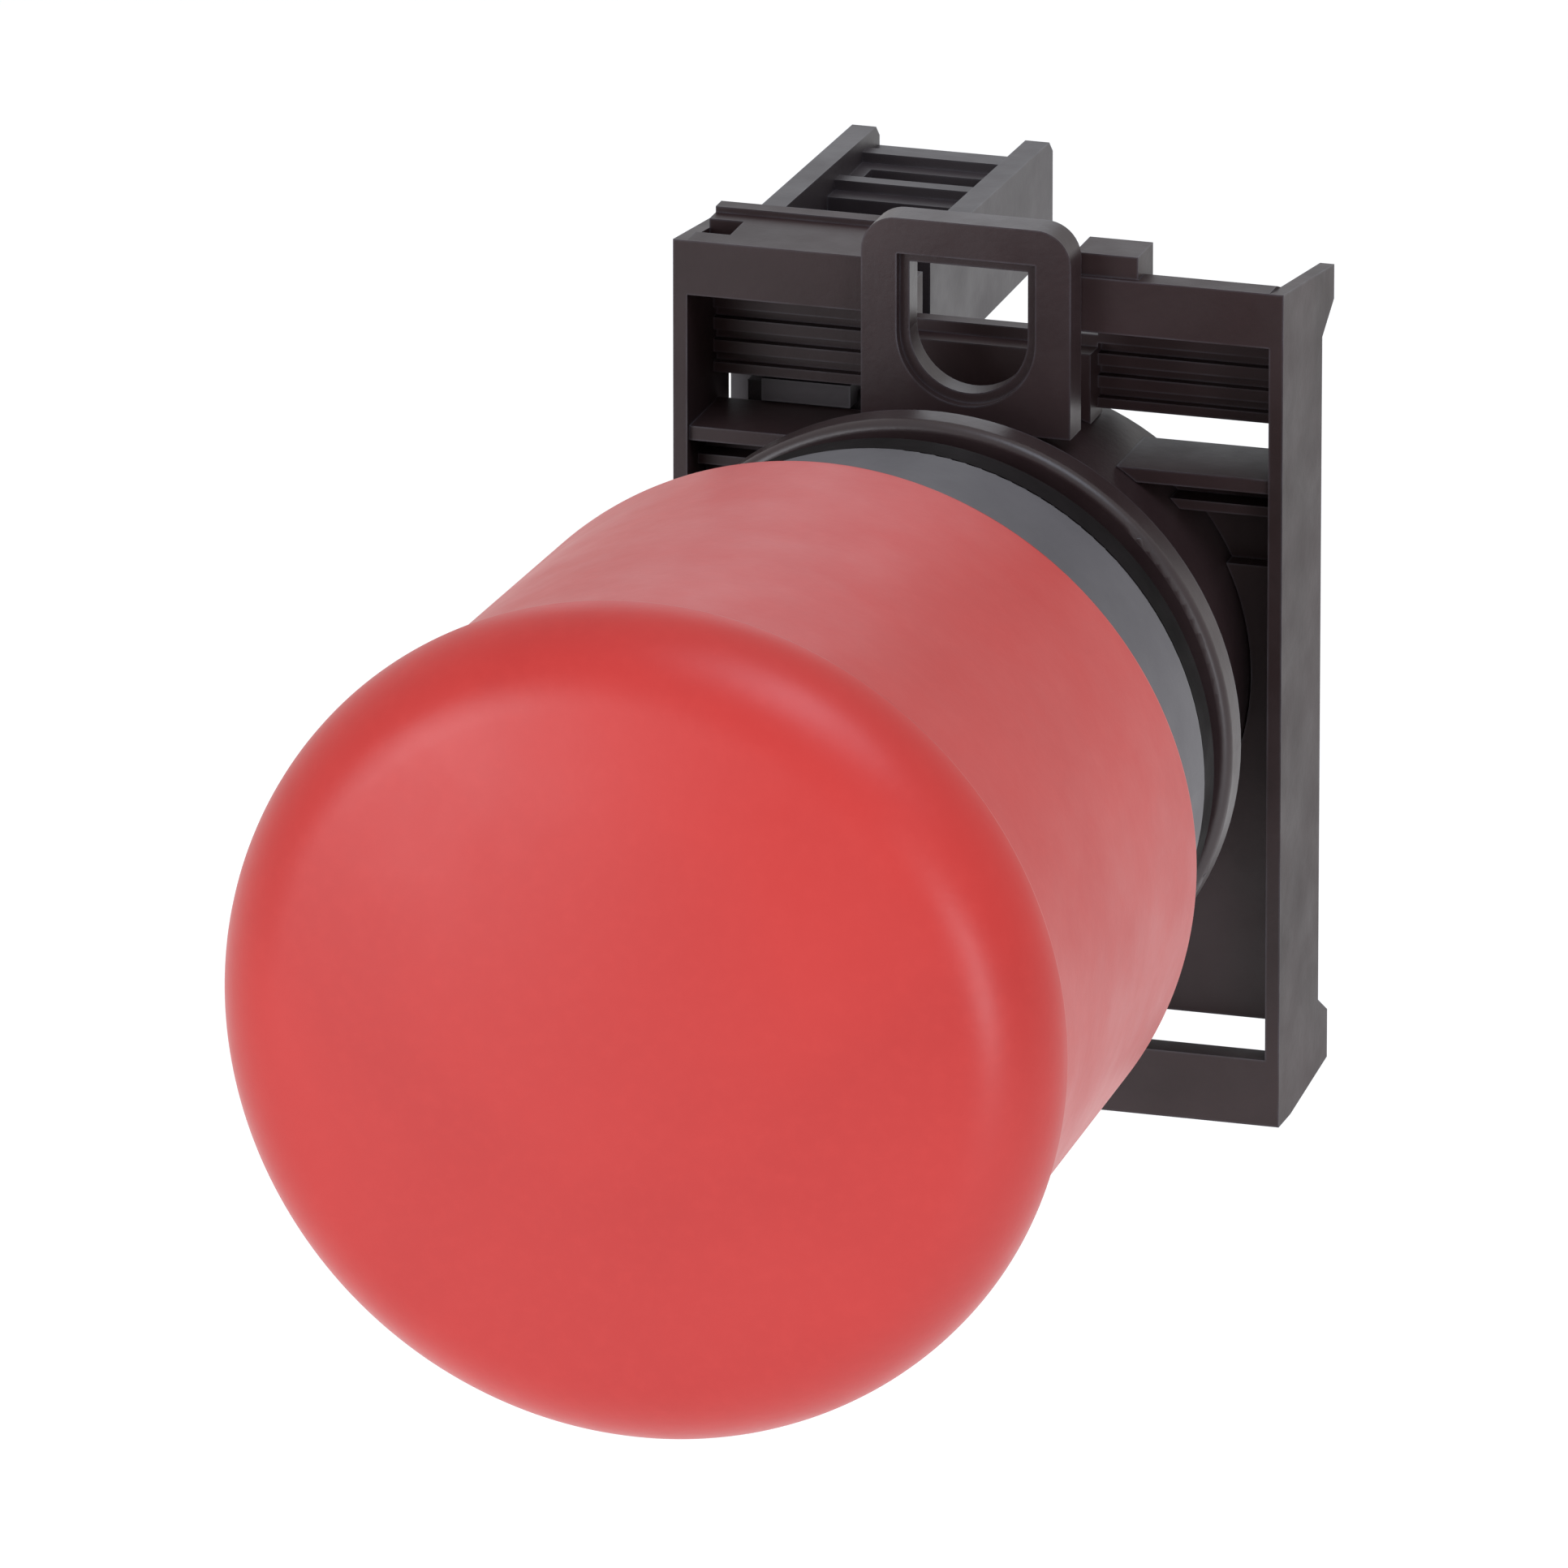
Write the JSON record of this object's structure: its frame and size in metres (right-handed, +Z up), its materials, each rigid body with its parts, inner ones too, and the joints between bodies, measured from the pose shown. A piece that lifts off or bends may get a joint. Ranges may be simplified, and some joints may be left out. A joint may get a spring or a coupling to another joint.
{
  "type": "emergency stop button",
  "caption": "Panel emergency stop button: red push-pull mushroom head, grey collar and 22 mm neck, clipped from behind to a mounting adapter with a lever and a contact block in its left place.",
  "frame": {"origin": "centre of the gasket's rear face, on the button's axis, where the operator meets the front of the panel", "axes": "+Y into the panel along the button's axis, +Z up (lever tab at the top), +X right as seen from the front"},
  "size_m": [0.04, 0.0893, 0.0441],
  "materials": {
    "red_cap": "satin moulded red plastic",
    "black_plastic": "fine matte moulded black plastic",
    "adapter_plastic": "matte moulded black plastic",
    "ring_plastic": "semi-gloss moulded black plastic",
    "block_plastic": "matte moulded dark plastic",
    "grey_collar": "matte moulded dark grey plastic",
    "natural_plastic": "matte moulded off-white plastic",
    "black_rubber": "soft moulded rubber",
    "zinc_steel": "zinc plated steel",
    "spring_steel": "bright drawn spring wire",
    "contact_brass": "stamped brass strip",
    "contact_silver": "silver alloy contact rivet"
  },
  "bodies": {
    "base": {"operator_barrel": "black_plastic", "bezel_collar": "grey_collar", "panel_gasket": "black_rubber", "stem_seal": "black_rubber", "detent_balls": "spring_steel", "detent_spring": "spring_steel", "head_spring": "spring_steel", "adapter_frame": "adapter_plastic", "block_housing": "block_plastic", "block_cover": "block_plastic", "fixed_contact_upper": "contact_brass", "fixed_contact_lower": "contact_brass", "fixed_contact_tips": "contact_silver", "contact_spring": "spring_steel"},
    "head": {"mushroom_cap": "red_cap", "cap_insert": "black_plastic", "head_screw": "zinc_steel", "stem": "natural_plastic", "stem_pin": "zinc_steel", "pusher_plate": "black_plastic"},
    "ring": {"lock_ring": "ring_plastic"},
    "plunger": {"block_plunger": "natural_plastic", "contact_bridge": "contact_brass", "moving_contact_tips": "contact_silver"},
    "latch": {"release_latch": "block_plastic"},
    "clamp_upper": {"terminal_clamp_upper": "zinc_steel"},
    "clamp_lower": {"terminal_clamp_lower": "zinc_steel"},
    "screw_upper": {"terminal_screw_upper": "zinc_steel"},
    "screw_lower": {"terminal_screw_lower": "zinc_steel"}
  },
  "joints": [
    {"name": "head_push", "type": "slide", "parent": "base", "child": "head", "axis": [0, 1, 0], "range_m": [0, 0.0045], "deforming": ["head_spring"]},
    {"name": "plunger_slide", "type": "slide", "parent": "base", "child": "plunger", "axis": [0, 1, 0], "range_m": [0, 0.0045], "deforming": ["contact_spring"]},
    {"name": "lever_turn", "type": "hinge", "parent": "base", "child": "ring", "pos_m": [0, 0.0065, 0], "axis": [0, 1, 0], "range_deg": [0, 40]},
    {"name": "latch_release", "type": "slide", "parent": "base", "child": "latch", "axis": [0, 1, 0], "range_m": [0, 0.0022]},
    {"name": "clamp_lift_upper", "type": "slide", "parent": "base", "child": "clamp_upper", "axis": [0, 1, 0], "range_m": [0, 0.001]},
    {"name": "screw_turn_upper", "type": "hinge", "parent": "clamp_upper", "child": "screw_upper", "pos_m": [-0.0099, 0.0349, 0.0132], "axis": [0, 1, 0], "range_deg": [0, 720]},
    {"name": "clamp_lift_lower", "type": "slide", "parent": "base", "child": "clamp_lower", "axis": [0, 1, 0], "range_m": [0, 0.001]},
    {"name": "screw_turn_lower", "type": "hinge", "parent": "clamp_lower", "child": "screw_lower", "pos_m": [-0.0099, 0.0349, -0.0132], "axis": [0, 1, 0], "range_deg": [0, 720]}
  ],
  "couplings": [
    {"joint": "plunger_slide", "follows": "head_push", "ratio": 1},
    {"joint": "screw_turn_upper", "follows": "clamp_lift_upper", "rad_per_m": 12566},
    {"joint": "screw_turn_lower", "follows": "clamp_lift_lower", "rad_per_m": 12566}
  ]
}
